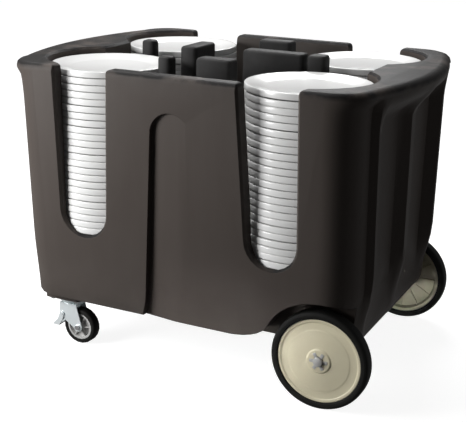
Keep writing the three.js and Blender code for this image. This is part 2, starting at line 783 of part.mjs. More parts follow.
function wheelTyre() {
  const outer = onFacets(WHEEL_RADIUS, WHEEL_FACETS)
  const inner = WHEEL_FACE_Y - TYRE_WIDTH
  const shoulder = 6
  const bead = tyreSeat + 6
  return turnedY(ringProfile([
    [tyreSeat, inner + 2],
    [bead, inner],
    [outer - 4, inner + 1.5],
    [outer, inner + shoulder],
    [outer, WHEEL_FACE_Y - shoulder],
    [outer - 4, WHEEL_FACE_Y - 1.5],
    [bead, WHEEL_FACE_Y],
    [tyreSeat, WHEEL_FACE_Y - 2],
  ]), WHEEL_FACETS)
}

function wheelBush() {
  const outer = bushBore + BUSH_WALL
  const flange = outer + BUSH_FLANGE
  const end = WHEEL_FACE_Y - 2 - GAP
  return turnedY(ringProfile([
    [bushBore, bushInnerY],
    [flange, bushInnerY],
    [flange, bushInnerY + BUSH_FLANGE_THICKNESS],
    [outer, bushInnerY + BUSH_FLANGE_THICKNESS],
    [outer, end],
    [bushBore, end],
  ]), PIN_FACETS)
}

function wheelWasher() {
  return turnedY(ringProfile([
    [bushBore, washerInnerY],
    [WASHER_RADIUS, washerInnerY],
    [WASHER_RADIUS, washerInnerY + WASHER_THICKNESS],
    [bushBore, washerInnerY + WASHER_THICKNESS],
  ]), PIN_FACETS)
}

const axleEndY = WHEEL_FACE_Y + AXLE_OVERHANG - 2

function rearAxle() {
  const half = [
    [AXLE_RADIUS, collarOuterY - COLLAR_LENGTH],
    [COLLAR_RADIUS, collarOuterY - COLLAR_LENGTH],
    [COLLAR_RADIUS, collarOuterY],
    [AXLE_RADIUS, collarOuterY],
    [AXLE_RADIUS, axleEndY - 1],
    [AXLE_RADIUS - 1, axleEndY],
    [0, axleEndY],
  ]
  const mirrored = [...half].reverse().map(([radius, y]) => [radius, -y])
  return turnedY([...mirrored, ...half], PIN_FACETS)
}

// A cup pushed over the end of the axle.
function axleCap() {
  const open = WHEEL_FACE_Y - 2 + GAP
  const end = axleEndY + GAP
  return turnedY([
    [0, end],
    [bushBore, end],
    [bushBore, open],
    [CAP_RADIUS, open],
    [CAP_RADIUS, end + 1.5],
    [CAP_RADIUS - 2, end + 3],
    [0, end + 3],
  ], PIN_FACETS)
}

function axleHanger() {
  const [width, depth, thickness] = HANGER_PLATE
  const top = HANGER_PAD_Z - GAP
  const eye = HANGER_EYE_RADIUS
  const web = new THREE.Shape()
  web.moveTo(-eye, top - 1)
  web.lineTo(-eye, WHEEL_RADIUS)
  web.absarc(0, WHEEL_RADIUS, eye, Math.PI, Math.PI * 2)
  web.lineTo(eye, top - 1)
  const bore = onFacets(bushBore, PIN_FACETS)
  const solid = joined([
    block(width, depth, top - thickness, top, 0, 0, 6),
    extrudedY(web, -HANGER_WEB / 2, HANGER_WEB / 2),
  ])
  const holes = [-0.5, 0.5].map((side) => {
    return pinZ(BOLT_RADIUS + HOLE_CLEARANCE, top - thickness - 1, top + 1, side * HANGER_BOLT_SPACING, 0)
  })
  return fromSolid(cut(solid, [pinY(bore, -HANGER_WEB, HANGER_WEB, 0, WHEEL_RADIUS, PIN_FACETS), ...holes]))
}

// A hexagon-headed bolt that points up, with the underside of its head at z = 0.
function bolt(length) {
  const head = pinZ(BOLT_HEAD_RADIUS, -BOLT_HEAD_HEIGHT, 0, 0, 0, 6)
  const shank = pinZ(BOLT_RADIUS, -1, length, 0, 0)
  return fromSolid(joined([head, shank]))
}

// ---------------------------------------------------------------- casters
// Drawn round the swivel axis, with z counted from the floor.

const casterPlateLow = CASTER_HEIGHT - CASTER_PLATE[2]
const raceTop = casterPlateLow - GAP
const raceLow = raceTop - RACE_HEIGHT
const forkTop = raceLow - GAP
const forkPlateTop = forkTop - FORK_BOSS[1]
const forkPlateLow = forkPlateTop - FORK_TOP_SHEET
const kingpinBore = KINGPIN_RADIUS + HOLE_CLEARANCE

function casterPlate() {
  const [width, depth, thickness] = CASTER_PLATE
  const plate = toSolid(block(width, depth, casterPlateLow, casterPlateLow + thickness, 0, 0, 8))
  const holes = casterBoltPlaces.map(([x, y]) => {
    return pinZ(BOLT_RADIUS + HOLE_CLEARANCE, casterPlateLow - 1, CASTER_HEIGHT + 1, x, y)
  })
  holes.push(pinZ(kingpinBore, casterPlateLow - 1, CASTER_HEIGHT + 1, 0, 0))
  return fromSolid(cut(plate, holes))
}

function casterRace() {
  return turnedZ(ringProfile([
    [kingpinBore, raceLow],
    [RACE_RADIUS * 0.78, raceLow],
    [RACE_RADIUS, raceLow + RACE_HEIGHT * 0.35],
    [RACE_RADIUS, raceTop],
    [kingpinBore, raceTop],
  ]), CASTER_FACETS)
}

function kingpin() {
  const [headRadius, headHeight] = KINGPIN_HEAD
  const headTop = forkPlateLow - GAP
  return turnedZ([
    [0, headTop - headHeight],
    [headRadius - 2, headTop - headHeight],
    [headRadius, headTop - headHeight + 2],
    [headRadius, headTop],
    [KINGPIN_RADIUS, headTop],
    [KINGPIN_RADIUS, CASTER_HEIGHT - GAP],
    [0, CASTER_HEIGHT - GAP],
  ], PIN_FACETS)
}

const pedalPivotX = PEDAL_PIVOT[0]
const pedalPivotZ = CASTER_WHEEL_RADIUS + PEDAL_PIVOT[1]

function casterFork() {
  const front = pedalPivotX - 9
  const back = CASTER_TRAIL - 4
  const leg = new THREE.Shape()
  leg.moveTo(front + 1, forkPlateTop)
  leg.lineTo(front, pedalPivotZ)
  leg.absarc(pedalPivotX, pedalPivotZ, 9, Math.PI, Math.PI * 1.35)
  leg.absarc(CASTER_TRAIL, CASTER_WHEEL_RADIUS, 13, Math.PI * 1.12, Math.PI * 2.11)
  leg.lineTo(back, forkPlateTop)
  const legs = [-1, 1].map((side) => {
    const inside = FORK_HALF_WIDTH - FORK_SHEET
    const [low, high] = side < 0 ? [-FORK_HALF_WIDTH, -inside] : [inside, FORK_HALF_WIDTH]
    return extrudedY(leg, low, high)
  })
  const [bossRadius, bossHeight] = FORK_BOSS
  const top = block(back - front - 1, FORK_HALF_WIDTH * 2, forkPlateLow, forkPlateTop, (front + 1 + back) / 2, 0, 3)
  const boss = pinZ(bossRadius, forkPlateTop - 1, forkPlateTop + bossHeight, 0, 0, CASTER_FACETS)
  const reach = FORK_HALF_WIDTH + 1
  const axleBore = CASTER_AXLE_RADIUS + HOLE_CLEARANCE
  const holes = [
    pinZ(kingpinBore, forkPlateLow - 1, forkTop + 1, 0, 0),
    pinY(axleBore, -reach, reach, CASTER_TRAIL, CASTER_WHEEL_RADIUS),
    pinY(PEDAL_PIN_RADIUS + HOLE_CLEARANCE, -reach, reach, pedalPivotX, pedalPivotZ),
  ]
  return fromSolid(cut(joined([top, boss, ...legs]), holes))
}

const casterSeat = CASTER_WHEEL_RADIUS - CASTER_TREAD_THICKNESS

function casterWheelCore() {
  const bore = CASTER_AXLE_RADIUS + HOLE_CLEARANCE + GAP
  const rim = casterSeat - GAP
  const hubEnd = FORK_HALF_WIDTH - FORK_SHEET - 0.5
  const rimEnd = CASTER_TREAD_WIDTH / 2 - 2
  const right = [
    [rim, rimEnd],
    [rim - 5, rimEnd],
    [rim - 7, 4],
    [bore + 8, 5],
    [bore + 6, hubEnd],
    [bore, hubEnd],
  ]
  const left = [...right].reverse().map(([radius, y]) => [radius, -y])
  return turnedY(ringProfile([...left, ...right]), CASTER_FACETS)
}

function casterTread() {
  const outer = onFacets(CASTER_WHEEL_RADIUS, CASTER_FACETS)
  const half = CASTER_TREAD_WIDTH / 2
  const right = [[outer, half - 6], [outer - 1.5, half - 2], [outer - 5, half], [casterSeat, half - 1]]
  const left = [...right].reverse().map(([radius, y]) => [radius, -y])
  return turnedY(ringProfile([...left, ...right]), CASTER_FACETS)
}

const boltSeatY = FORK_HALF_WIDTH + GAP

function casterAxleBolt() {
  const head = pinY(BOLT_HEAD_RADIUS, -boltSeatY - BOLT_HEAD_HEIGHT, -boltSeatY, 0, 0, 6)
  const shank = pinY(CASTER_AXLE_RADIUS, -boltSeatY - 1, boltSeatY + BOLT_HEAD_HEIGHT + 1, 0, 0)
  return fromSolid(joined([head, shank]))
}

function casterAxleNut() {
  const bore = CASTER_AXLE_RADIUS + HOLE_CLEARANCE
  const nut = toSolid(pinY(BOLT_HEAD_RADIUS, boltSeatY, boltSeatY + BOLT_HEAD_HEIGHT, 0, 0, 6))
  return fromSolid(cut(nut, [pinY(bore, boltSeatY - 1, boltSeatY + BOLT_HEAD_HEIGHT + 1, 0, 0)]))
}

// Drawn round its pivot pin: two arms outside the fork, a brake shoe and a toe plate.
function brakePedal() {
  const armInside = FORK_HALF_WIDTH + 1
  const armOutside = armInside + PEDAL_SHEET
  const arm = new THREE.Shape()
  arm.moveTo(7, 0)
  arm.absarc(0, 0, 7, 0, Math.PI)
  for (const [x, z] of [[-14, -18], [-28, -31], [-28, -36], [-10, -36], [1, -18]]) {
    arm.lineTo(x, z)
  }
  const arms = [-1, 1].map((side) => {
    const [low, high] = side < 0 ? [-armOutside, -armInside] : [armInside, armOutside]
    return extrudedY(arm, low, high)
  })
  const toe = polygon([[-28, -36], [-9, -36], [-9, -32.5], [-28, -32.5]])
  const shoe = polygon([[-6.5, -20], [-1.5, -20], [-1.5, -12], [-6.5, -12]])
  const pin = pinY(PEDAL_PIN_RADIUS, -armOutside - 0.8, armOutside + 0.8, 0, 0)
  return fromSolid(joined([
    ...arms,
    pin,
    extrudedY(toe, -armOutside, armOutside),
    extrudedY(shoe, -armOutside + 1, armOutside - 1),
  ]))
}

// ---------------------------------------------------------------- assembly

function piece(name, geometry, material) {
  const shaded = geometry.toNonIndexed()
  shaded.computeVertexNormals()
  const mesh = new THREE.Mesh(shaded, material)
  mesh.name = name
  return mesh
}

function placed(object, x, y, z) {
  object.position.set(x, y, z)
  return object
}

const cart = new THREE.Group()
cart.add(piece('body_shell', tub(), polyethylene))

for (const spec of dividers) {
  cart.add(placed(piece(spec.name, divider(spec), dividerPlastic), ...spec.place, 0))
}

for (const [end, signX] of [['front', -1], ['rear', 1]]) {
  for (const [side, signY] of [['left', -1], ['right', 1]]) {
    const stack = piece(`plate_stack_${end}_${side}`, plateStack(), porcelain)
    cart.add(placed(stack, signX * STACK_X, signY * STACK_Y, 0))
  }
}

const axleLine = placed(new THREE.Group(), WHEEL_X, 0, WHEEL_RADIUS)
axleLine.add(piece('rear_axle', rearAxle(), boltSteel))
cart.add(axleLine)

// A big wheel is turned half round about Z for the left side.
for (const [side, signY] of [['left', -1], ['right', 1]]) {
  const wheel = new THREE.Group()
  wheel.rotation.z = signY < 0 ? Math.PI : 0
  wheel.add(piece(`wheel_disc_${side}`, wheelDisc(), creamPlastic))
  wheel.add(piece(`wheel_tyre_${side}`, wheelTyre(), blackRubber))
  wheel.add(piece(`wheel_bush_${side}`, wheelBush(), bearingPlastic))
  wheel.add(piece(`wheel_washer_${side}`, wheelWasher(), zincSteel))
  wheel.add(piece(`axle_cap_${side}`, axleCap(), greyPlastic))
  axleLine.add(wheel)

  const hanger = piece(`axle_hanger_${side}`, axleHanger(), zincSteel)
  cart.add(placed(hanger, WHEEL_X, signY * HANGER_Y, 0))
  for (const [place, signX] of [['front', -1], ['rear', 1]]) {
    const hangerBolt = piece(`hanger_bolt_${side}_${place}`, bolt(BOLT_LENGTH), boltSteel)
    const head = HANGER_PAD_Z - HANGER_PLATE[2] - 2 * GAP
    cart.add(placed(hangerBolt, WHEEL_X + (signX * HANGER_BOLT_SPACING) / 2, signY * HANGER_Y, head))
  }
}

for (const [side, signY] of [['left', -1], ['right', 1]]) {
  const caster = placed(new THREE.Group(), CASTER_X, signY * CASTER_Y, 0)
  const name = (part) => `caster_${side}_${part}`
  caster.add(piece(name('plate'), casterPlate(), zincSteel))
  caster.add(piece(name('race'), casterRace(), zincSteel))
  caster.add(piece(name('kingpin'), kingpin(), boltSteel))
  caster.add(piece(name('fork'), casterFork(), zincSteel))
  casterBoltPlaces.forEach(([x, y], count) => {
    const plateBolt = piece(name(`bolt_${count + 1}`), bolt(BOLT_LENGTH), boltSteel)
    caster.add(placed(plateBolt, x, y, casterPlateLow - GAP))
  })
  const hub = placed(new THREE.Group(), CASTER_TRAIL, 0, CASTER_WHEEL_RADIUS)
  hub.add(piece(name('wheel_core'), casterWheelCore(), greyPlastic))
  hub.add(piece(name('tread'), casterTread(), blackRubber))
  hub.add(piece(name('axle_bolt'), casterAxleBolt(), boltSteel))
  hub.add(piece(name('axle_nut'), casterAxleNut(), boltSteel))
  caster.add(hub)
  const pedal = piece(name('brake_pedal'), brakePedal(), zincSteel)
  caster.add(placed(pedal, pedalPivotX, 0, pedalPivotZ))
  cart.add(caster)
}

export default cart
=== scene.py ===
# %% [markdown]
# # A plate dispenser cart
# The object is a moulded tub on wheels. Four round wells hold stacks of white plates, seven
# upright dividers guide them, two big wheels carry one end and two swivel casters the other.
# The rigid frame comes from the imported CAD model; this lesson dresses it: smooth moulded
# surfaces, real separate plates, turned wheels, and a procedural finish on every piece.

# %% Load the frame
import json
import math

import bmesh
import bpy
from mathutils import Matrix, Vector

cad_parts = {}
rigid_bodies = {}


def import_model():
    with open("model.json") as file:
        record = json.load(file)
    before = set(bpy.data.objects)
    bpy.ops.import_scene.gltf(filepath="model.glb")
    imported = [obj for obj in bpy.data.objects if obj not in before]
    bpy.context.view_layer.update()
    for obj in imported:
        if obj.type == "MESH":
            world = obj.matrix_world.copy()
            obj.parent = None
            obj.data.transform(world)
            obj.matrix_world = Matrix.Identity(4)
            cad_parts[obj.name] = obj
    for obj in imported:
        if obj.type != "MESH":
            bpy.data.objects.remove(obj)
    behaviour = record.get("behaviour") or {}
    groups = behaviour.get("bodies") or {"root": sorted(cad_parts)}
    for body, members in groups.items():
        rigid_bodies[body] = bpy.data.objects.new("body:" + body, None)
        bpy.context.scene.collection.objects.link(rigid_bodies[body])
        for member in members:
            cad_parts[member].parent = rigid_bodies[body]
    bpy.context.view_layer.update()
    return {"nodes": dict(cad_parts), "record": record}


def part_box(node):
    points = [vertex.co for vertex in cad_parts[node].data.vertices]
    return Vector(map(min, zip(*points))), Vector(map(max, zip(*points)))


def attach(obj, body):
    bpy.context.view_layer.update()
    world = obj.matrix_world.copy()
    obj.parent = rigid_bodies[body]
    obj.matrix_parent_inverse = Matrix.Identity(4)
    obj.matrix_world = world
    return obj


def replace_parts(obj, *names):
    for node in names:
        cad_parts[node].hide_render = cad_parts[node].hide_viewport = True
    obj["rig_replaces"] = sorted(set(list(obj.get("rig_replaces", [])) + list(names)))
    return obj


MM = 0.001
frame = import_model()
nodes = frame["nodes"]

# %% [markdown]
# ## The camera
# The camera stands where the photographer stood: in front of the near long side, turned 26
# degrees towards the big-wheel end and looking down by 17. The lens is given by a focal
# length in picture widths, and the camera is rolled by a degree, as a hand-held one is.

# %% Place the camera
CAMERA_PLACE = Vector((1.22996, -2.53575, 1.23431))
CAMERA_AZIMUTH = math.radians(26.093)
CAMERA_PITCH = math.radians(17.326)
CAMERA_ROLL = math.radians(0.962)
FOCAL_PIXELS = 1054.49
PHOTO_WIDTH = 467
SENSOR_WIDTH = 36.0


def camera_turn(azimuth, pitch, roll):
    """The camera's axes as columns: right, up and back."""
    back = Vector((
        math.sin(azimuth) * math.cos(pitch),
        -math.cos(azimuth) * math.cos(pitch),
        math.sin(pitch),
    ))
    level = Vector((0, 0, 1)).cross(back).normalized()
    upright = back.cross(level)
    right = math.cos(roll) * level + math.sin(roll) * upright
    up = math.cos(roll) * upright - math.sin(roll) * level
    return Matrix((right, up, back)).transposed()


scene = bpy.context.scene
camera_data = bpy.data.cameras.new("photo_camera")
camera_data.sensor_width = SENSOR_WIDTH
camera_data.lens = FOCAL_PIXELS * SENSOR_WIDTH / PHOTO_WIDTH
camera = bpy.data.objects.new("photo_camera", camera_data)
turn = camera_turn(CAMERA_AZIMUTH, CAMERA_PITCH, CAMERA_ROLL)
camera.matrix_world = Matrix.Translation(CAMERA_PLACE) @ turn.to_4x4()
scene.collection.objects.link(camera)
scene.camera = camera
print("lens", round(camera_data.lens, 1), "mm")

# %% [markdown]
# ## Helpers for node trees
# The floor, the world, the finishes and the Geometry Nodes below are all node trees. A few
# short functions build them: a node whose inputs are links or plain values, a sum, a ramp, a
# noise, and an empty group with its named sockets.

# %% Write the node helpers
def grey(value):
    return (value, value, value, 1)


def add_node(tree, kind, inputs=None):
    """A new node; an input is linked where it is given a socket, or else it takes the value."""
    node = tree.nodes.new(kind)
    for key, value in (inputs or {}).items():
        if isinstance(value, bpy.types.NodeSocket):
            tree.links.new(value, node.inputs[key])
        else:
            node.inputs[key].default_value = value
    return node


def add_sum(tree, operation, *values, clamp=False):
    node = add_node(tree, "ShaderNodeMath", dict(enumerate(values)))
    node.operation = operation
    node.use_clamp = clamp
    return node.outputs[0]


def add_ramp(tree, value, low, high, to_low=0.0, to_high=1.0):
    """The value, brought from between low and high to between to_low and to_high."""
    node = add_node(tree, "ShaderNodeMapRange", {
        "Value": value, "From Min": low, "From Max": high, "To Min": to_low, "To Max": to_high,
    })
    return node.outputs["Result"]


def add_noise(tree, vector, scale, detail, roughness):
    node = add_node(tree, "ShaderNodeTexNoise", {
        "Vector": vector, "Scale": scale, "Detail": detail, "Roughness": roughness,
    })
    return node.outputs["Fac"]


def new_group(name, tree_kind, inputs, outputs):
    """An empty node group: its tree, the sockets that come in and the node that ends it.

    inputs: name to (socket kind, value or None); outputs: name to socket kind."""
    tree = bpy.data.node_groups.new(name, tree_kind)
    for label, kind in outputs.items():
        tree.interface.new_socket(
            name=label, in_out="OUTPUT", socket_type=f"NodeSocket{kind}")
    for label, (kind, value) in inputs.items():
        socket = tree.interface.new_socket(
            name=label, in_out="INPUT", socket_type=f"NodeSocket{kind}")
        if value is not None:
            socket.default_value = value
    given = tree.nodes.new("NodeGroupInput").outputs
    return tree, given, tree.nodes.new("NodeGroupOutput")


def new_material(name):
    material = bpy.data.materials.new(name)
    material.use_nodes = True
    material.node_tree.nodes.clear()
    return material


# %% [markdown]
# ## Floor, lights and world
# The studio is a white sweep. A large soft lamp stands low at the front left, so the long
# side shines along its length while the big-wheel end falls into shade, and a second soft
# lamp hangs high on the left for the rims and the top plates. A third lights the far side, and
# three weak ones lift the top, the big-wheel end and the underside a little, so that no side
# of the object is lost in the dark. The floor and the world are white to the camera and pale
# to shiny things, but give little light of their own: that keeps the shaded end as deep as a
# dark moulding looks in a room, and the floor keeps its shadow.

# %% Build the floor
FLOOR_HALF = 9.0
FLOOR_DROP = 0.0006
FLOOR_BOUNCE = 0.07
FLOOR_SEEN = 0.32
GLOSSY_FLOOR = 0.3
GLOW_NEAR = 0.91
WHITE_FROM = 1.2
WHITE_BY = 2.6


def seen_by_shiny(tree, path):
    """One where a ray comes off something shiny or through something clear."""
    rays = path.outputs
    return add_sum(tree, "MAXIMUM", rays["Is Glossy Ray"], rays["Is Transmission Ray"])


def mixed(tree, factor, when_off, when_on):
    return add_node(tree, "ShaderNodeMixShader", {
        "Fac": factor, 1: when_off.outputs[0], 2: when_on.outputs[0],
    })


def seen_three_ways(tree, to_light, to_shiny, to_camera):
    """One shader for the light that falls, one for shiny surfaces and one for the camera."""
    path = add_node(tree, "ShaderNodeLightPath")
    unseen = mixed(tree, seen_by_shiny(tree, path), to_light, to_shiny)
    return mixed(tree, path.outputs["Is Camera Ray"], unseen, to_camera).outputs[0]


def floor_material():
    """Paper that keeps its shadow, with a glow that is fully white further out."""
    material = new_material("white_sweep")
    tree = material.node_tree
    place = add_node(tree, "ShaderNodeTexCoord").outputs["Object"]
    away = tree.nodes.new("ShaderNodeVectorMath")
    away.operation = "LENGTH"
    tree.links.new(place, away.inputs[0])
    glow_strength = add_ramp(tree, away.outputs["Value"], WHITE_FROM, WHITE_BY, GLOW_NEAR)
    glow = add_node(tree, "ShaderNodeEmission", {"Strength": glow_strength})
    paper = add_node(tree, "ShaderNodeBsdfDiffuse", {"Color": grey(FLOOR_SEEN)})
    lit_paper = add_node(tree, "ShaderNodeAddShader", {
        0: paper.outputs[0], 1: glow.outputs[0],
    })
    bounce = add_node(tree, "ShaderNodeBsdfDiffuse", {"Color": grey(FLOOR_BOUNCE)})
    pale = add_node(tree, "ShaderNodeEmission", {"Strength": GLOSSY_FLOOR})
    seen = seen_three_ways(tree, bounce, pale, lit_paper)
    add_node(tree, "ShaderNodeOutputMaterial", {"Surface": seen})
    return material


def studio_floor():
    mesh = bpy.data.meshes.new("studio_floor")
    corners = [(-1, -1), (1, -1), (1, 1), (-1, 1)]
    points = [(x * FLOOR_HALF, y * FLOOR_HALF, -FLOOR_DROP) for x, y in corners]
    mesh.from_pydata(points, [], [(0, 1, 2, 3)])
    mesh.materials.append(floor_material())
    floor = bpy.data.objects.new("studio_floor", mesh)
    scene.collection.objects.link(floor)


studio_floor()
print("floor", 2 * FLOOR_HALF, "m across")

# %% Hang the lamps
LAMPS = {
    "left_high": dict(
        place=(-1.9, 0.0, 3.74), target=(0.0, 0.0, 0.45), size=(1.6, 1.6), watts=128.0),
    "front_low": dict(
        place=(-1.31, -1.45, 0.95), target=(-0.2, -0.3, 0.5), size=(0.9, 0.9), watts=44.0),
    "overhead": dict(
        place=(0.1, 0.3, 3.6), target=(0.1, 0.0, 0.7), size=(1.4, 1.4), watts=8.0),
    "under_sweep": dict(
        place=(-0.35, -1.5, 0.07), target=(0.39, 0.31, 0.12), size=(0.14, 0.08), watts=0.16,
        spread=math.radians(24)),
    "far_side": dict(
        place=(-0.9, 2.9, 2.9), target=(0.0, 0.3, 0.45), size=(1.4, 1.4), watts=70.0),
    "big_wheel_end": dict(
        place=(3.3, 1.7, 1.0), target=(0.5, 0.0, 0.45), size=(1.0, 1.0), watts=7.0),
}


def hang_lamp(name, place, target, size, watts, spread=math.pi):
    lamp = bpy.data.lights.new(name, "AREA")
    lamp.shape = "RECTANGLE"
    lamp.size, lamp.size_y = size
    lamp.energy = watts
    lamp.spread = spread
    holder = bpy.data.objects.new(name, lamp)
    holder.location = place
    aim = Vector(target) - Vector(place)
    holder.rotation_euler = aim.to_track_quat("-Z", "Y").to_euler()
    scene.collection.objects.link(holder)


for lamp_name, values in LAMPS.items():
    hang_lamp(lamp_name, **values)
print("lamps:", ", ".join(LAMPS))

# %% Set the world
AMBIENT = 0.035
GLOSSY_WORLD = 0.16
BACKDROP = 1.0

world = bpy.data.worlds.new("studio_world")
world.use_nodes = True
scene.world = world
world_tree = world.node_tree
world_tree.nodes.clear()
skies = [
    add_node(world_tree, "ShaderNodeBackground", {"Color": grey(1.0), "Strength": strength})
    for strength in (AMBIENT, GLOSSY_WORLD, BACKDROP)
]
add_node(world_tree, "ShaderNodeOutputWorld", {"Surface": seen_three_ways(world_tree, *skies)})
scene.view_settings.view_transform = "Standard"
print("world strengths", AMBIENT, GLOSSY_WORLD, BACKDROP)

# %% [markdown]
# ## Three shared effects: moulded grain, edge wear, and settled dust that also masks a painted shade
# Almost every piece here is moulded or pressed, so three effects repeat. *Moulded grain* is
# the fine leathery skin that plastic takes from its mould, with a slower unevenness and
# faint upright streaks under it, where the melt ran. *Edge wear* finds where a surface turns
# sharply outward, because hands and floors polish and scuff a piece there first. *Settled
# dust* lies on what faces up and gathers towards the floor; the same group, given other
# amounts, also makes the mask of a painted shade that darkens the tub's top. Each is a node
# group, built once, with its own sizes as inputs, and each puts out masks and heights only.

# %% Build the moulded grain group
CELL_SMOOTHNESS = 0.6
SWELL_DETAIL = 3.0
SWELL_ROUGHNESS = 0.55
STREAK_STRETCH = (1.0, 1.0, 0.05)
STREAK_SCALE = 26.0
STREAK_DETAIL = 4.0
STREAK_ROUGHNESS = 0.6
STREAK_FROM = 0.42
STREAK_FULL = 0.68


def moulded_grain_group():
    tree, given, result = new_group(
        "moulded_grain", "ShaderNodeTree",
        {
            "Vector": ("Vector", None), "Grain Scale": ("Float", 900.0),
            "Swell Scale": ("Float", 9.0), "Swell Height": ("Float", 0.0),
        },
        {"Height": "Float", "Unevenness": "Float", "Streaks": "Float"},
    )
    cells = tree.nodes.new("ShaderNodeTexVoronoi")
    cells.feature = "SMOOTH_F1"
    cells.inputs["Smoothness"].default_value = CELL_SMOOTHNESS
    tree.links.new(given["Vector"], cells.inputs["Vector"])
    tree.links.new(given["Grain Scale"], cells.inputs["Scale"])
    swell = add_noise(
        tree, given["Vector"], given["Swell Scale"], SWELL_DETAIL, SWELL_ROUGHNESS)
    upright = add_node(tree, "ShaderNodeMapping", {
        "Vector": given["Vector"], "Scale": STREAK_STRETCH,
    })
    runs = add_noise(
        tree, upright.outputs["Vector"], STREAK_SCALE, STREAK_DETAIL, STREAK_ROUGHNESS)
    height = add_sum(
        tree, "MULTIPLY_ADD", swell, given["Swell Height"], cells.outputs["Distance"])
    streaks = add_ramp(tree, runs, STREAK_FROM, STREAK_FULL)
    tree.links.new(height, result.inputs["Height"])
    tree.links.new(swell, result.inputs["Unevenness"])
    tree.links.new(streaks, result.inputs["Streaks"])
    return tree


moulded_grain = moulded_grain_group()

# %% Build the edge wear group
WEAR_START = 0.53
WEAR_FULL = 0.64
PATCH_SCALE = 30.0
PATCH_DETAIL = 4.0
PATCH_ROUGHNESS = 0.55


def edge_wear_group():
    tree, given, result = new_group(
        "edge_wear", "ShaderNodeTree",
        {
            "Vector": ("Vector", None), "Start": ("Float", WEAR_START),
            "Full": ("Float", WEAR_FULL), "Patch Scale": ("Float", PATCH_SCALE),
        },
        {"Mask": "Float"},
    )
    shape = tree.nodes.new("ShaderNodeNewGeometry")
    rubbed = add_ramp(tree, shape.outputs["Pointiness"], given["Start"], given["Full"])
    patches = add_noise(
        tree, given["Vector"], given["Patch Scale"], PATCH_DETAIL, PATCH_ROUGHNESS)
    mask = add_sum(tree, "MULTIPLY", rubbed, patches, clamp=True)
    tree.links.new(mask, result.inputs["Mask"])
    return tree


edge_wear = edge_wear_group()

# %% Build the settled dust and painted top shade group
CLOUD_SCALE = 11.0
CLOUD_DETAIL = 5.0
CLOUD_ROUGHNESS = 0.62
CLOUD_FROM = 0.35
CLOUD_FULL = 0.75


# the mask for settled dust, also used for the painted shade on what faces up on the tub
def dust_and_top_shade_group():
    tree, given, result = new_group(
        "settled_dust", "ShaderNodeTree",
        {
            "Vector": ("Vector", None), "Height": ("Float", 0.35),
            "Low Amount": ("Float", 0.3), "Top Amount": ("Float", 0.1),
        },
        {"Mask": "Float"},
    )
    place = add_node(tree, "ShaderNodeSeparateXYZ", {0: given["Vector"]})
    low = add_ramp(tree, place.outputs["Z"], 0.0, given["Height"], given["Low Amount"], 0.0)
    facing = tree.nodes.new("ShaderNodeNewGeometry")
    upward = add_node(tree, "ShaderNodeSeparateXYZ", {0: facing.outputs["Normal"]})
    lying = add_sum(tree, "MULTIPLY", upward.outputs["Z"], given["Top Amount"], clamp=True)
    both = add_sum(tree, "ADD", low, lying)
    clouds = add_noise(tree, given["Vector"], CLOUD_SCALE, CLOUD_DETAIL, CLOUD_ROUGHNESS)
    thin = add_ramp(tree, clouds, CLOUD_FROM, CLOUD_FULL)
    mask = add_sum(tree, "MULTIPLY", both, thin, clamp=True)
    tree.links.new(mask, result.inputs["Mask"])
    return tree


settled_dust = dust_and_top_shade_group()
print("shader groups:", moulded_grain.name, edge_wear.name, settled_dust.name)

# %% [markdown]
# ## Finishes
# One function makes every finish from a short list of values, because the finishes differ in
# numbers and not in kind: a base colour, a second colour that drifts through it, a worn
# colour for the edges, a roughness with its spread, and the size and height of the grain.
# The tub alone also has streaks, and a painted shade that darkens what faces up. A moulded or
# pressed edge is never knife sharp, so a Bevel node rounds the shading there.

# %% Write the finish recipe
DUST_COLOUR = (0.30, 0.285, 0.26)
DUST_ROUGHNESS = 0.4
# the colour and strength of a painted shade that darkens what faces up on the tub
TOP_SHADE_COLOUR = (0.012, 0.011, 0.011)
TOP_SHADE_STRENGTH = 2.4
BEVEL_SAMPLES = 4


def laid_over(tree, under, colour, mask):
    """The colour under, with another laid over it where the mask is one."""
    mix = tree.nodes.new("ShaderNodeMix")
    mix.data_type = "RGBA"
    mix.inputs["B"].default_value = (*colour, 1)
    tree.links.new(mask, mix.inputs["Factor"])
    if isinstance(under, tuple):
        mix.inputs["A"].default_value = (*under, 1)
    else:
        tree.links.new(under, mix.inputs["A"])
    return mix.outputs["Result"]


def grouped(tree, group, vector, values):
    node = tree.nodes.new("ShaderNodeGroup")
    node.node_tree = group
    tree.links.new(vector, node.inputs["Vector"])
    for key, value in values.items():
        node.inputs[key].default_value = value
    return node.outputs


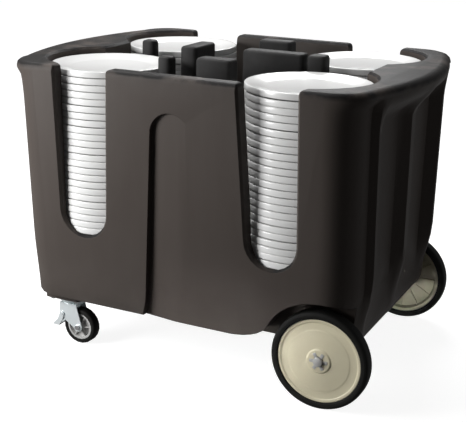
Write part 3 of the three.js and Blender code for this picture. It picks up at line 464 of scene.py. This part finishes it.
def finish(name, colour, drift, worn, *, roughness, spread, grain_scale, grain_height,
           swell_scale, swell_height=0.0, metallic=0.0, specular=0.5, streaks=0.0,
           dust_below, dust_low, dust_on_top, top_shade_amount=0.0, rounded):
    """Lengths are metres: dust_below is the height that dust gathers below, and rounded is
    the radius of the edges. dust_low and dust_on_top are amounts of dust; top_shade_amount is
    the amount of painted shade that darkens what faces up."""
    material = new_material(name)
    tree = material.node_tree
    place = add_node(tree, "ShaderNodeTexCoord").outputs["Object"]
    grain = grouped(tree, moulded_grain, place, {
        "Grain Scale": grain_scale, "Swell Scale": swell_scale, "Swell Height": swell_height,
    })
    rubbed = grouped(tree, edge_wear, place, {
        "Start": WEAR_START, "Full": WEAR_FULL, "Patch Scale": PATCH_SCALE,
    })
    dusty = grouped(tree, settled_dust, place, {
        "Height": dust_below, "Low Amount": dust_low, "Top Amount": dust_on_top,
    })

    tone = laid_over(tree, colour, drift, grain["Unevenness"])
    if streaks:
        faint = add_sum(tree, "MULTIPLY", grain["Streaks"], streaks)
        tone = laid_over(tree, tone, drift, faint)
    tone = laid_over(tree, tone, worn, rubbed["Mask"])
    # painted shade: what faces up is darkened, in cloudy patches
    if top_shade_amount:
        top_shade_layer = grouped(tree, settled_dust, place, {"Low Amount": 0.0, "Top Amount": top_shade_amount})
        top_shade_weight = add_sum(tree, "MULTIPLY", top_shade_layer["Mask"], TOP_SHADE_STRENGTH)
        tone = laid_over(tree, tone, TOP_SHADE_COLOUR, top_shade_weight)
    tone = laid_over(tree, tone, DUST_COLOUR, dusty["Mask"])

    gloss = add_ramp(
        tree, grain["Unevenness"], 0.0, 1.0, roughness - spread, roughness + spread)
    dulled = add_sum(tree, "MULTIPLY_ADD", dusty["Mask"], DUST_ROUGHNESS, gloss)

    edge = add_node(tree, "ShaderNodeBevel", {"Radius": rounded})
    edge.samples = BEVEL_SAMPLES
    bump = add_node(tree, "ShaderNodeBump", {
        "Strength": 1.0, "Distance": grain_height, "Height": grain["Height"],
        "Normal": edge.outputs["Normal"],
    })
    shader = add_node(tree, "ShaderNodeBsdfPrincipled", {
        "Base Color": tone, "Roughness": dulled, "Normal": bump.outputs["Normal"],
        "Metallic": metallic, "Specular IOR Level": specular,
    })
    add_node(tree, "ShaderNodeOutputMaterial", {"Surface": shader.outputs["BSDF"]})
    return material


# %% Mix the finishes
# the tub's finish also darkens what faces up with a painted shade
tub_plastic = finish(
    "tub_polyethylene",
    (0.058, 0.048, 0.042), (0.070, 0.059, 0.053), (0.11, 0.10, 0.093),
    roughness=0.52, spread=0.05, specular=0.12, streaks=0.5, top_shade_amount=1.5,
    grain_scale=700.0, grain_height=0.00012, swell_scale=4.5, swell_height=9.0,
    dust_below=0.34, dust_low=0.10, dust_on_top=0.02, rounded=0.0025,
)
divider_plastic = finish(
    "divider_black_plastic",
    (0.009, 0.0088, 0.009), (0.014, 0.0135, 0.014), (0.07, 0.068, 0.066),
    roughness=0.58, spread=0.06, specular=0.15,
    grain_scale=900.0, grain_height=0.00008, swell_scale=14.0,
    dust_below=0.35, dust_low=0.0, dust_on_top=0.04, rounded=0.002,
)
china_glaze = finish(
    "china_glaze",
    (0.84, 0.84, 0.835), (0.80, 0.80, 0.79), (0.80, 0.79, 0.77),
    roughness=0.16, spread=0.04,
    grain_scale=160.0, grain_height=0.00002, swell_scale=22.0,
    dust_below=0.35, dust_low=0.0, dust_on_top=0.02, rounded=0.0006,
)
cream_plastic = finish(
    "wheel_cream_plastic",
    (0.84, 0.78, 0.57), (0.79, 0.72, 0.51), (0.60, 0.54, 0.40),
    roughness=0.45, spread=0.08,
    grain_scale=600.0, grain_height=0.0001, swell_scale=26.0,
    dust_below=0.25, dust_low=0.16, dust_on_top=0.04, rounded=0.0012,
)
tyre_rubber = finish(
    "black_tyre_rubber",
    (0.0050, 0.0050, 0.0045), (0.0085, 0.0085, 0.0075), (0.016, 0.0155, 0.015),
    roughness=0.7, spread=0.08, specular=0.18,
    grain_scale=1400.0, grain_height=0.0001, swell_scale=30.0,
    dust_below=0.22, dust_low=0.04, dust_on_top=0.0, rounded=0.0012,
)
grey_plastic = finish(
    "hub_grey_plastic",
    (0.47, 0.465, 0.455), (0.53, 0.525, 0.515), (0.58, 0.58, 0.57),
    roughness=0.45, spread=0.08,
    grain_scale=900.0, grain_height=0.00006, swell_scale=60.0,
    dust_below=0.12, dust_low=0.12, dust_on_top=0.03, rounded=0.0008,
)
bearing_plastic = finish(
    "bearing_plastic",
    (0.04, 0.04, 0.043), (0.05, 0.05, 0.052), (0.09, 0.09, 0.09),
    roughness=0.4, spread=0.05,
    grain_scale=900.0, grain_height=0.00005, swell_scale=9.0,
    dust_below=0.35, dust_low=0.12, dust_on_top=0.03, rounded=0.0006,
)
zinc_plate = finish(
    "bright_zinc",
    (0.80, 0.88, 0.90), (0.88, 0.93, 0.94), (0.92, 0.95, 0.95),
    roughness=0.34, spread=0.12, metallic=0.45,
    grain_scale=260.0, grain_height=0.00004, swell_scale=45.0,
    dust_below=0.15, dust_low=0.06, dust_on_top=0.02, rounded=0.0006,
)
bolt_steel = finish(
    "plain_steel",
    (0.42, 0.43, 0.44), (0.52, 0.52, 0.52), (0.68, 0.68, 0.68),
    roughness=0.32, spread=0.1, metallic=1.0,
    grain_scale=700.0, grain_height=0.00003, swell_scale=70.0,
    dust_below=0.15, dust_low=0.10, dust_on_top=0.02, rounded=0.0005,
)
SLOT_FINISH = {
    "body_polyethylene": tub_plastic,
    "divider_plastic": divider_plastic,
    "plate_china": china_glaze,
    "wheel_cream": cream_plastic,
    "tyre_rubber": tyre_rubber,
    "caster_rubber": tyre_rubber,
    "hub_grey": grey_plastic,
    "bush_plastic": bearing_plastic,
    "zinc_plate": zinc_plate,
    "bolt_steel": bolt_steel,
}
print("finishes:", ", ".join(sorted({m.name for m in SLOT_FINISH.values()})))

# %% Dress the CAD nodes
node_slot = {s["node"]: s["material_slot"] for s in frame["record"]["subparts"]}
node_body = {
    name: body
    for body, names in frame["record"]["behaviour"]["bodies"].items() for name in names
}
for node_name, node in nodes.items():
    node.data.materials.clear()
    node.data.materials.append(SLOT_FINISH[node_slot[node_name]])
print("dressed", len(nodes), "nodes")

# %% [markdown]
# ## Smooth skins
# The frame's nodes are faceted solids. A piece whose facets would show gets a skin: a copy
# whose loose triangles are merged, shaded smooth except across real edges.

# %% Write the skin helper
MERGE_WITHIN = 1e-6
FLAT_WITHIN = math.radians(0.4)
# in degrees: an edge that turns by more than this stays sharp
TUB_SHARP = 38
SKIN_SHARP = 40
TYRE_SHARP = 35
DISC_SHARP = 30
PLATE_SHARP = 50
BAR_SHARP = 60


def adopt(obj, name, *replaced):
    """Puts a finished piece on the body of the nodes that it stands for, in their finish."""
    obj.name = name
    obj.data.name = name
    slot_name = node_slot[replaced[0]]
    obj.data.materials.clear()
    obj.data.materials.append(SLOT_FINISH[slot_name])
    if obj.name not in scene.collection.objects:
        scene.collection.objects.link(obj)
    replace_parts(obj, *replaced)
    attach(obj, node_body[replaced[0]])
    return obj


def shade(mesh, degrees):
    """Smooth shading that keeps edges sharper than an angle."""
    work = bmesh.new()
    work.from_mesh(mesh)
    for face in work.faces:
        face.smooth = True
    for edge in work.edges:
        edge.smooth = edge.calc_face_angle(0.0) < math.radians(degrees)
    work.to_mesh(mesh)
    work.free()


def skin(node_name, name, degrees):
    mesh = nodes[node_name].data.copy()
    work = bmesh.new()
    work.from_mesh(mesh)
    bmesh.ops.remove_doubles(work, verts=work.verts, dist=MERGE_WITHIN)
    bmesh.ops.dissolve_limit(
        work, angle_limit=FLAT_WITHIN, verts=work.verts, edges=work.edges)
    work.to_mesh(mesh)
    work.free()
    shade(mesh, degrees)
    piece = bpy.data.objects.new(name, mesh)
    return adopt(piece, name, node_name)


tub = skin("body_shell", "tub_moulding", TUB_SHARP)
print("tub faces", len(tub.data.polygons))

# %% [markdown]
# ## Turned pieces
# Wheels, tyres and plates are all turned: one profile swept round an axis. The profile is a
# closed ring of points in millimetres, (radius, distance along the axis), so a bore is part
# of it and the solid closes on itself. Enough steps round the axis keep the edge round.

# %% Write the lathe
POINTS_MEET = 1e-7


def turned(name, profile, steps, degrees, axis="Z", centre=(0, 0, 0), flip=False):
    """Sweeps a profile round Z or Y through the centre; flip mirrors it along that axis."""
    verts = []
    faces = []
    count = len(profile)
    for step in range(steps):
        angle = 2 * math.pi * (step + 0.5) / steps
        for radius, along in profile:
            a = radius * math.sin(angle) * MM
            b = -radius * math.cos(angle) * MM
            c = (-along if flip else along) * MM
            point = (a, c, b) if axis == "Y" else (a, b, c)
            verts.append(Vector(point) + Vector(centre) * MM)
    for step in range(steps):
        here = step * count
        after = (step + 1) % steps * count
        for i in range(count):
            j = (i + 1) % count
            faces.append((here + i, here + j, after + j, after + i))
    mesh = bpy.data.meshes.new(name)
    mesh.from_pydata(verts, [], faces)
    work = bmesh.new()
    work.from_mesh(mesh)
    bmesh.ops.remove_doubles(work, verts=work.verts, dist=POINTS_MEET)
    bmesh.ops.dissolve_degenerate(work, edges=work.edges, dist=POINTS_MEET)
    bmesh.ops.recalc_face_normals(work, faces=work.faces)
    work.to_mesh(mesh)
    work.free()
    shade(mesh, degrees)
    return bpy.data.objects.new(name, mesh)


# %% [markdown]
# ## The plates
# A stack is not one block. It is two dozen rim plates, each set down by hand, so each one
# sits a hair to one side and a hair out of level; that is what draws the wavy grey lines in
# the slots. One plate is turned, and a Geometry Nodes tree sets it down again and again up a
# line, with a small seeded shift, turn and tilt. The tree realizes its instances, so the
# stack ends as one plain mesh.

# %% Turn one plate
PLATE_RADIUS = 158
PLATE_SETBACK = 0.8
PLATE_PITCH = 18
PLATE_COUNT = 24
PLATE_STEPS = 72

# foot ring, underside, upright outer band with a soft edge, sloping rim and flat well
EDGE = PLATE_RADIUS - PLATE_SETBACK
PLATE_PROFILE = [
    (0.0, 2.2), (84.0, 2.2), (86.0, 0.2), (91.0, 0.2), (94.0, 2.4), (124.0, 2.6),
    (147.0, 1.0), (EDGE - 3.0, 0.7), (EDGE - 1.0, 1.2), (EDGE - 0.2, 2.4), (EDGE, 4.5),
    (EDGE, 14.2), (EDGE - 0.3, 15.8), (EDGE - 1.3, 16.8), (EDGE - 3.2, 17.2),
    (EDGE - 8.0, 16.6), (138.0, 14.2), (120.0, 10.4), (112.0, 8.0), (104.0, 6.8), (0.0, 6.5),
]

plate = turned("one_plate", PLATE_PROFILE, PLATE_STEPS, PLATE_SHARP)
scene.collection.objects.link(plate)
print("one plate has", len(plate.data.polygons), "faces")

# %% Build the stacking tree
SLIP = 0.0011
LEAN = 0.0036
TURN = 3.1


def random_vector(tree, most, seed):
    """A vector for each point, between minus most and most."""
    node = tree.nodes.new("FunctionNodeRandomValue")
    node.data_type = "FLOAT_VECTOR"
    node.inputs["Min"].default_value = [-value for value in most]
    node.inputs["Max"].default_value = most
    tree.links.new(seed, node.inputs["Seed"])
    return node.outputs["Value"]


def realized(tree, instances, material, result):
    """Ends a tree: its instances become one mesh, in one material."""
    real = add_node(tree, "GeometryNodeRealizeInstances", {"Geometry": instances})
    coat = add_node(tree, "GeometryNodeSetMaterial", {
        "Geometry": real.outputs["Geometry"], "Material": material,
    })
    tree.links.new(coat.outputs["Geometry"], result.inputs["Geometry"])


def stacking_tree():
    tree, given, result = new_group(
        "plate_stacking", "GeometryNodeTree",
        {
            "Count": ("Int", PLATE_COUNT), "Pitch": ("Float", PLATE_PITCH * MM),
            "Foot": ("Vector", (0, 0, 0)), "Seed": ("Int", 1),
            "Plate": ("Object", None), "Glaze": ("Material", None),
        },
        {"Geometry": "Geometry"},
    )
    rise = add_node(tree, "ShaderNodeCombineXYZ", {"Z": given["Pitch"]})
    line = add_node(tree, "GeometryNodeMeshLine", {
        "Count": given["Count"], "Start Location": given["Foot"],
        "Offset": rise.outputs["Vector"],
    })
    shifted = add_node(tree, "GeometryNodeSetPosition", {
        "Geometry": line.outputs["Mesh"],
        "Offset": random_vector(tree, (SLIP, SLIP, 0.0), given["Seed"]),
    })
    source = add_node(tree, "GeometryNodeObjectInfo", {"Object": given["Plate"]})
    dealt = add_node(tree, "GeometryNodeInstanceOnPoints", {
        "Points": shifted.outputs["Geometry"], "Instance": source.outputs["Geometry"],
        "Rotation": random_vector(tree, (LEAN, LEAN, TURN), given["Seed"]),
    })
    realized(tree, dealt.outputs["Instances"], given["Glaze"], result)
    return tree


stacking = stacking_tree()


def socket_name(tree, name):
    """A modifier's input goes by its socket's identifier."""
    for item in tree.interface.items_tree:
        if item.item_type == "SOCKET" and item.in_out == "INPUT" and item.name == name:
            return item.identifier
    raise KeyError(name)


def grown(name, tree, values):
    """Runs a Geometry Nodes tree on an empty mesh and returns the result as a plain mesh."""
    seed = bpy.data.objects.new(name, bpy.data.meshes.new(name))
    scene.collection.objects.link(seed)
    modifier = seed.modifiers.new("grow", "NODES")
    modifier.node_group = tree
    for key, value in values.items():
        modifier[socket_name(tree, key)] = value
    bpy.context.view_layer.update()
    graph = bpy.context.evaluated_depsgraph_get()
    mesh = bpy.data.meshes.new_from_object(seed.evaluated_get(graph))
    bpy.data.objects.remove(seed)
    piece = bpy.data.objects.new(name, mesh)
    scene.collection.objects.link(piece)
    return piece


# %% Stack the plates
FIRST_SEED = 3
stack_names = sorted(name for name in nodes if name.startswith("plate_stack"))
for seed, stack_name in enumerate(stack_names, FIRST_SEED):
    low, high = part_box(stack_name)
    foot = ((low.x + high.x) / 2, (low.y + high.y) / 2, low.z)
    values = {"Foot": foot, "Seed": seed, "Plate": plate, "Glaze": china_glaze}
    stack = grown(stack_name.replace("plate_stack", "plates"), stacking, values)
    adopt(stack, stack.name, stack_name)
    print(stack.name, len(stack.data.polygons), "faces")
bpy.data.objects.remove(plate)

# %% [markdown]
# ## The big wheels
# A cream moulded disc carries a black tyre. The disc has a raised lip where it grips the
# tyre, a shallow step three quarters of the way out, and a boss round the axle. The tyre has a
# soft crown and a raised line on its wall. Both are turned on the lathe, at the place of the
# CAD tyre.

# %% Turn the tyres and discs
WHEEL_STEPS = 96
TYRE_PROFILE = [
    (109, 313), (111, 311.6), (114, 311), (117.5, 311.2), (118.3, 310.9), (119.3, 311.4),
    (122.5, 312), (125, 313.8), (126.5, 317), (127, 321), (127, 339), (126.5, 343),
    (125, 346.2), (122.5, 348), (119.3, 348.6), (118.3, 349), (117.5, 348.8), (114, 349),
    (111, 348.4), (109, 347),
]
DISC_PROFILE = [
    (13.4, 305.6), (25, 305.6), (26.3, 306.6), (29.5, 327), (31, 328.4), (93, 328.4),
    (95, 327.4), (98.4, 316), (99.6, 315), (107.6, 315), (108.6, 316), (108.6, 344),
    (107.6, 345), (102.5, 345), (101, 344.4), (99.5, 343.2), (98, 343), (82, 343),
    (80.6, 343.2), (79, 343.8), (77.6, 344), (34, 344), (32, 344.4), (29.5, 346.6),
    (28, 347), (13.4, 347),
]


def centre_of(node_name):
    """The middle of a node's box, in millimetres."""
    low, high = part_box(node_name)
    return (low + high) / 2 / MM


for side, flip in (("left", True), ("right", False)):
    axle = centre_of(f"wheel_tyre_{side}")
    middle = (axle.x, 0, axle.z)
    tyre = turned("tyre", TYRE_PROFILE, WHEEL_STEPS, TYRE_SHARP, "Y", middle, flip)
    adopt(tyre, f"tyre_{side}", f"wheel_tyre_{side}")
    disc = turned("disc", DISC_PROFILE, WHEEL_STEPS, DISC_SHARP, "Y", middle, flip)
    adopt(disc, f"disc_{side}", f"wheel_disc_{side}")
print("wheels turned at", round(axle.x, 1), round(axle.z, 1))

# %% [markdown]
# ## Ribs and clips round an axle
# A moulded wheel is a thin web that radial ribs keep stiff: twelve behind each big disc, six
# through each caster wheel. The grey clip that holds a big wheel on its axle spreads six
# short petals round its cap. All of these are one small shape dealt round a circle, so one
# Geometry Nodes tree makes them: a circle of points, the shape on each point, turned by the
# point's own angle, and the whole ring tipped so that its axis lies along the axle.

# %% Build the ring tree
def ring_tree():
    tree, given, result = new_group(
        "ring_round_axle", "GeometryNodeTree",
        {
            "Count": ("Int", 12), "Radius": ("Float", 0.06),
            "Axle": ("Vector", (0, 0, 0)), "Tip": ("Vector", (0, 0, 0)),
            "Shape": ("Object", None), "Finish": ("Material", None),
        },
        {"Geometry": "Geometry"},
    )
    circle = add_node(tree, "GeometryNodeMeshCircle", {
        "Vertices": given["Count"], "Radius": given["Radius"],
    })
    number = tree.nodes.new("GeometryNodeInputIndex")
    part = add_sum(tree, "DIVIDE", number.outputs[0], given["Count"])
    angle = add_sum(tree, "MULTIPLY", part, 2 * math.pi)
    turn_by = add_node(tree, "ShaderNodeCombineXYZ", {"Z": angle})
    source = add_node(tree, "GeometryNodeObjectInfo", {"Object": given["Shape"]})
    dealt = add_node(tree, "GeometryNodeInstanceOnPoints", {
        "Points": circle.outputs["Mesh"], "Instance": source.outputs["Geometry"],
        "Rotation": turn_by.outputs["Vector"],
    })
    tipped = add_node(tree, "GeometryNodeTransform", {
        "Geometry": dealt.outputs["Instances"], "Rotation": given["Tip"],
        "Translation": given["Axle"],
    })
    realized(tree, tipped.outputs["Geometry"], given["Finish"], result)
    return tree


ring = ring_tree()

# %% Shape a rib and a petal
# each side view is a list of points in millimetres: (out from the axle, along the axle)
DISC_RIB = dict(
    shape_name="disc_rib", thickness=3.0, round_by=0.5, count=12, slot_name="wheel_cream",
    side_view=[(28, 329.5), (28, 324.5), (33, 325.5), (88, 326), (96, 324), (96, 329.5)])
CLIP_PETAL = dict(
    shape_name="clip_petal", thickness=8.5, round_by=0.4, count=6, slot_name="hub_grey",
    side_view=[(12.3, 346.9), (12.3, 348.4), (22.5, 347.9), (24.0, 346.9)])
CORE_RIB = dict(
    shape_name="core_rib", thickness=2.6, round_by=0.4, count=6, slot_name="hub_grey",
    side_view=[(12, 14), (31.5, 10.5), (31.5, -10.5), (12, -14)])


def bar(name, side_view, thickness, round_by):
    """A side view given a thickness, its edges rounded; and how far out its middle lies."""
    middle = sum(out for out, _ in side_view) / len(side_view)
    count = len(side_view)
    verts = []
    for y in (-thickness / 2, thickness / 2):
        verts += [Vector((out - middle, y, along)) * MM for out, along in side_view]
    faces = [tuple(range(count)), tuple(reversed(range(count, 2 * count)))]
    for i in range(count):
        j = (i + 1) % count
        faces.append((i, i + count, j + count, j))
    mesh = bpy.data.meshes.new(name)
    mesh.from_pydata(verts, [], faces)
    work = bmesh.new()
    work.from_mesh(mesh)
    bmesh.ops.bevel(
        work, geom=work.edges[:], offset=round_by * MM, segments=2, affect="EDGES",
        profile=0.5, clamp_overlap=True)
    bmesh.ops.recalc_face_normals(work, faces=work.faces)
    work.to_mesh(mesh)
    work.free()
    shade(mesh, BAR_SHARP)
    shape = bpy.data.objects.new(name, mesh)
    scene.collection.objects.link(shape)
    return shape, middle


def ring_of(name, axle, tip, body, shape_name, side_view, thickness, round_by, count,
            slot_name):
    shape, middle = bar(shape_name, side_view, thickness, round_by)
    values = {
        "Count": count, "Radius": middle * MM, "Axle": tuple(axle), "Tip": (tip, 0, 0),
        "Shape": shape, "Finish": SLOT_FINISH[slot_name],
    }
    piece = grown(name, ring, values)
    bpy.data.objects.remove(shape)
    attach(piece, body)
    print(name, len(piece.data.polygons), "faces")


for side, tip in (("left", math.pi / 2), ("right", -math.pi / 2)):
    axle = centre_of(f"wheel_tyre_{side}") * MM
    axle.y = 0
    wheel = node_body[f"wheel_disc_{side}"]
    ring_of(f"disc_ribs_{side}", axle, tip, wheel, **DISC_RIB)
    ring_of(f"axle_clip_{side}", axle, tip, wheel, **CLIP_PETAL)
    core = f"caster_{side}_wheel_core"
    ring_of(f"caster_ribs_{side}", centre_of(core) * MM, tip, node_body[core], **CORE_RIB)

# %% Skin what is left
LEFT_AS_CAD = ("bush", "washer")
taken = {name for obj in bpy.data.objects for name in obj.get("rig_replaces", [])}
for node_name in sorted(nodes):
    if node_name in taken or any(word in node_name for word in LEFT_AS_CAD):
        continue
    skin(node_name, f"{node_name}_skin", SKIN_SHARP)
